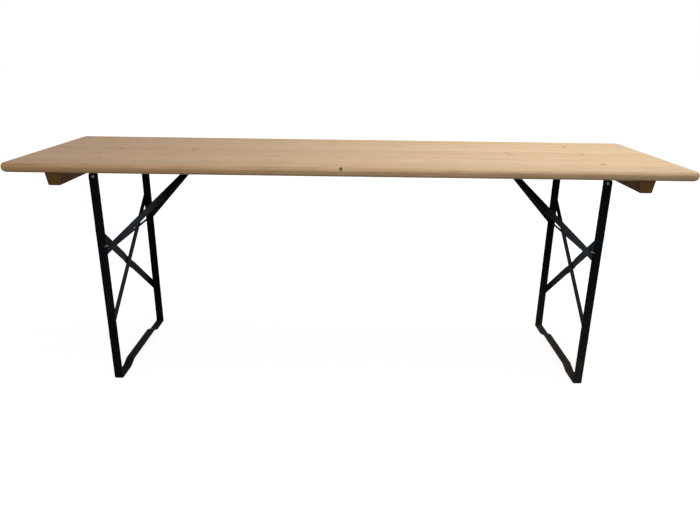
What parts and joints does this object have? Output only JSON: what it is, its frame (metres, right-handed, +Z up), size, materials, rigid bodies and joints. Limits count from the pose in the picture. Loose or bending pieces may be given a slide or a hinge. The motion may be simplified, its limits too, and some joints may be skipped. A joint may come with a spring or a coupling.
{
  "type": "folding trestle table",
  "caption": "Long wooden table board on folding angle-steel leg frames, with crossed braces, foot bars and V-shaped stays that snap into catches under the board.",
  "frame": {"origin": "on the floor under the middle of the board", "axes": "+X along the board, +Y across it towards the rear, +Z up"},
  "size_m": [2.2, 0.7, 0.78],
  "materials": {
    "lacquered_board": "clear-lacquered glued spruce",
    "batten_wood": "darkened softwood, thin clear lacquer",
    "zinc_screws": "zinc plated",
    "tarnished_bolts": "zinc plated, tarnished brown, heads flush in the board",
    "spring_steel": "oiled spring steel",
    "painted_frame": "blue-black enamel, dusty and worn near the floor",
    "painted_stay": "blue-black enamel",
    "painted_fittings": "blue-black enamel",
    "riveted_steel": "painted over, worn bright on the crowns of the heads",
    "pin_steel": "bare steel, polished by use"
  },
  "bodies": {
    "top_assembly": {"batten_left": "batten_wood", "batten_right": "batten_wood", "batten_screws_left": "zinc_screws", "batten_screws_right": "zinc_screws", "bracket_screws_left": "tarnished_bolts", "bracket_screws_right": "tarnished_bolts", "catch_left": "painted_fittings", "catch_right": "painted_fittings", "catch_screws_left": "tarnished_bolts", "catch_screws_right": "tarnished_bolts", "hinge_bracket_front_left": "painted_fittings", "hinge_bracket_front_right": "painted_fittings", "hinge_bracket_rear_left": "painted_fittings", "hinge_bracket_rear_right": "painted_fittings", "latch_spring_left": "spring_steel", "latch_spring_right": "spring_steel", "spring_screws_left": "zinc_screws", "spring_screws_right": "zinc_screws", "table_top": "lacquered_board"},
    "leg_frame_left": {"brace_rivets_left": "painted_frame", "cross_brace_inner_left": "painted_frame", "cross_brace_outer_left": "painted_frame", "cross_rod_left": "painted_frame", "foot_bar_left": "painted_frame", "hinge_rivets_left": "riveted_steel", "leg_front_left": "painted_frame", "leg_rear_left": "painted_frame", "stop_rivets_left": "riveted_steel"},
    "leg_frame_right": {"brace_rivets_right": "painted_frame", "cross_brace_inner_right": "painted_frame", "cross_brace_outer_right": "painted_frame", "cross_rod_right": "painted_frame", "foot_bar_right": "painted_frame", "hinge_rivets_right": "riveted_steel", "leg_front_right": "painted_frame", "leg_rear_right": "painted_frame", "stop_rivets_right": "riveted_steel"},
    "stay_left": {"apex_pin_left": "pin_steel", "apex_washers_left": "pin_steel", "stay_arm_front_left": "painted_stay", "stay_arm_rear_left": "painted_stay"},
    "stay_right": {"apex_pin_right": "pin_steel", "apex_washers_right": "pin_steel", "stay_arm_front_right": "painted_stay", "stay_arm_rear_right": "painted_stay"}
  },
  "joints": [
    {"name": "leg_fold_left", "type": "hinge", "parent": "top_assembly", "child": "leg_frame_left", "pos_m": [-0.833, -0.0135, 0.73], "axis": [0, -1, 0], "range_deg": [0, 90], "deforming": ["latch_spring_left"]},
    {"name": "stay_fold_left", "type": "hinge", "parent": "leg_frame_left", "child": "stay_left", "pos_m": [-0.833, -0.0135, 0.466], "axis": [0, -1, 0], "range_deg": [-135, 0]},
    {"name": "leg_fold_right", "type": "hinge", "parent": "top_assembly", "child": "leg_frame_right", "pos_m": [0.833, -0.0135, 0.73], "axis": [0, 1, 0], "range_deg": [0, 90], "deforming": ["latch_spring_right"]},
    {"name": "stay_fold_right", "type": "hinge", "parent": "leg_frame_right", "child": "stay_right", "pos_m": [0.833, -0.0135, 0.466], "axis": [0, 1, 0], "range_deg": [-135, 0]}
  ],
  "couplings": [
    {"joint": "stay_fold_left", "follows": "leg_fold_left", "ratio": -1.5},
    {"joint": "stay_fold_right", "follows": "leg_fold_right", "ratio": -1.5}
  ]
}
